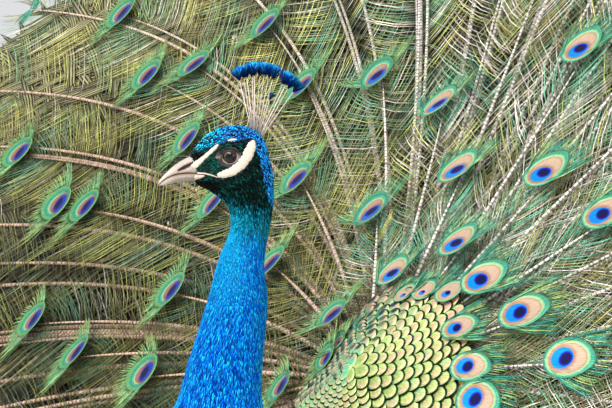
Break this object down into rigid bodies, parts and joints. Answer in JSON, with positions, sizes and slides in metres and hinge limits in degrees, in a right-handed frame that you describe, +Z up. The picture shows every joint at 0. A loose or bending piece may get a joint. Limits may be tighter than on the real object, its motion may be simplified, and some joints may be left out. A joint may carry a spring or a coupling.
{
  "type": "displaying peacock",
  "caption": "Life-size male Indian peafowl standing with its train raised in a fan, head turned in profile.",
  "frame": {"origin": "on the floor, at the centre of the bird's plan outline", "axes": "+Z up; the bird faces -Y; its left side and the width of the fan lie along X"},
  "size_m": [2.4288, 1.1844, 1.5518],
  "materials": {
    "plumage_blue": "glossy blue and green plumage over flesh",
    "bill": "horn",
    "eye": "wet, dark brown iris and black pupil",
    "back_scales": "glossy green-gold scale feathers",
    "train_feathers": "bronze-green loose barbs and eye spots",
    "tail_feathers": "matt grey-brown feather",
    "wing_feathers": "buff feather barred with dark brown",
    "flight_feathers": "matt chestnut feather",
    "thigh_feathers": "soft buff feathering over flesh",
    "leg_skin": "scaly grey-brown skin",
    "claw": "dark horn"
  },
  "bodies": {
    "root": {"trunk": "plumage_blue", "neck": "plumage_blue", "head": "plumage_blue", "bill_upper": "bill", "bill_lower": "bill", "eye_l": "eye", "eye_r": "eye", "crest": "train_feathers", "back_scales": "back_scales", "train_01": "train_feathers", "train_02": "train_feathers", "train_03": "train_feathers", "train_04": "train_feathers", "train_05": "train_feathers", "train_06": "train_feathers", "train_07": "train_feathers", "train_08": "train_feathers", "train_09": "train_feathers", "train_10": "train_feathers", "tail": "tail_feathers", "wing_l": "wing_feathers", "primaries_l": "flight_feathers", "thigh_l": "thigh_feathers", "tarsus_l": "leg_skin", "spur_l": "claw", "foot_l": "leg_skin", "claw_middle_l": "claw", "claw_inner_l": "claw", "claw_outer_l": "claw", "claw_hind_l": "claw", "wing_r": "wing_feathers", "primaries_r": "flight_feathers", "thigh_r": "thigh_feathers", "tarsus_r": "leg_skin", "spur_r": "claw", "foot_r": "leg_skin", "claw_middle_r": "claw", "claw_inner_r": "claw", "claw_outer_r": "claw", "claw_hind_r": "claw"}
  },
  "joints": []
}
